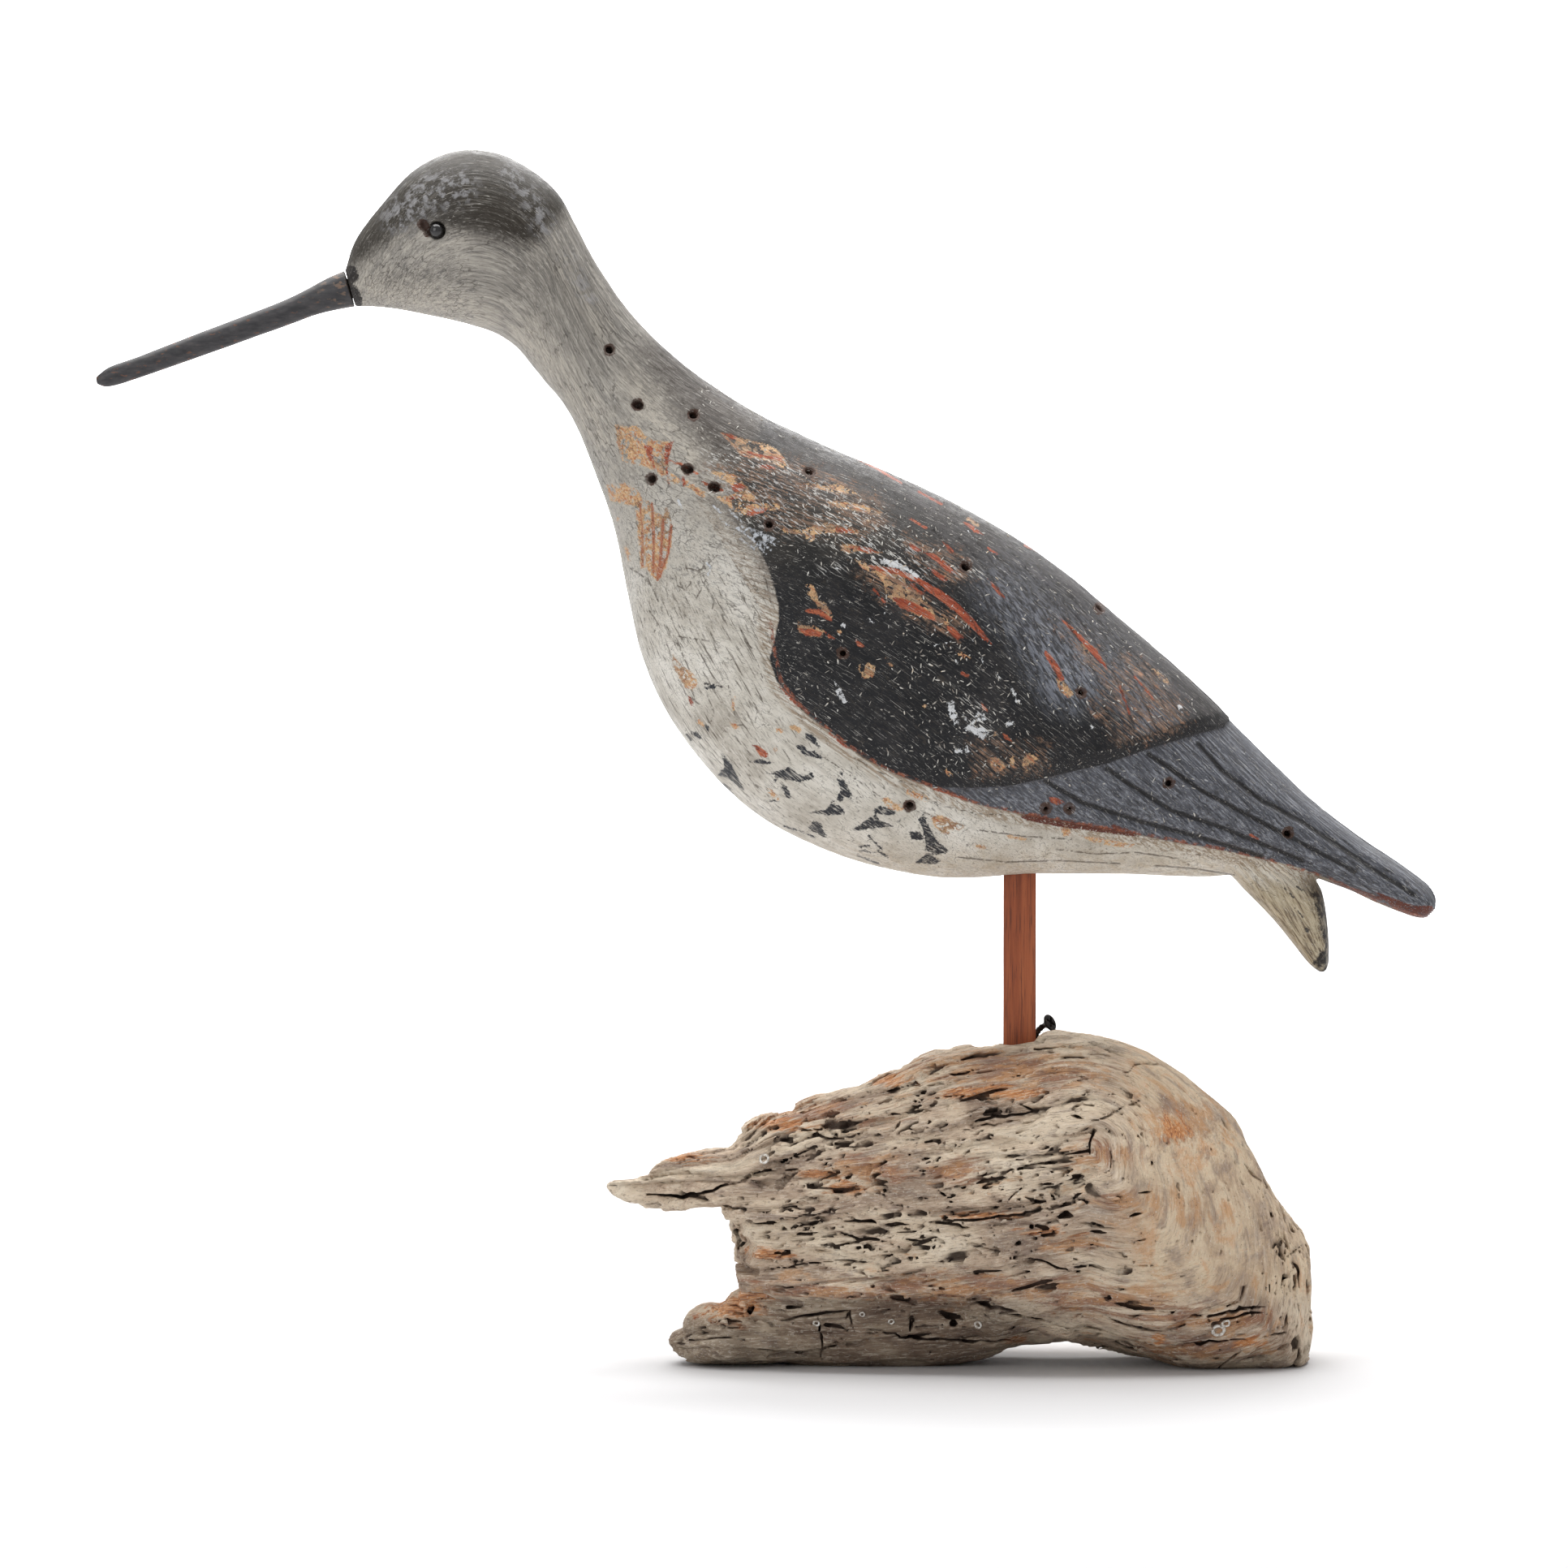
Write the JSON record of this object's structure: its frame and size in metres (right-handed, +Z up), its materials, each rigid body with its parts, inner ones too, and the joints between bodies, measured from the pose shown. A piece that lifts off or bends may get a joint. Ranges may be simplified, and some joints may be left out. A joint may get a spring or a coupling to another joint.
{
  "type": "shorebird decoy",
  "caption": "Carved and painted wooden shorebird decoy with a long bill, set on a plain stick that stands in a weathered, worm-eaten piece of driftwood.",
  "frame": {"origin": "on the ground under the centre of the whole object's box", "axes": "+Z up, +X towards the bird's tail with the bill at -X, +Y towards the bird's right side"},
  "size_m": [0.3662, 0.0948, 0.3327],
  "materials": {
    "painted_bird": "old oil paint in grey, blue-black and cream over bare reddish wood, crackled and worn",
    "painted_bill": "worn black paint, satin",
    "eye_glass": "opaque dark glass, glossy",
    "stick_wood": "reddish brown wood, lightly waxed",
    "driftwood": "bare weathered grey-beige wood with orange heartwood, pitted and cracked, matt",
    "screw_steel": "blackened steel, satin"
  },
  "bodies": {
    "root": {"bird": "painted_bird", "bill": "painted_bill", "eye_left": "eye_glass", "eye_right": "eye_glass", "stick": "stick_wood", "driftwood": "driftwood", "wedge_screw": "screw_steel"}
  },
  "joints": []
}
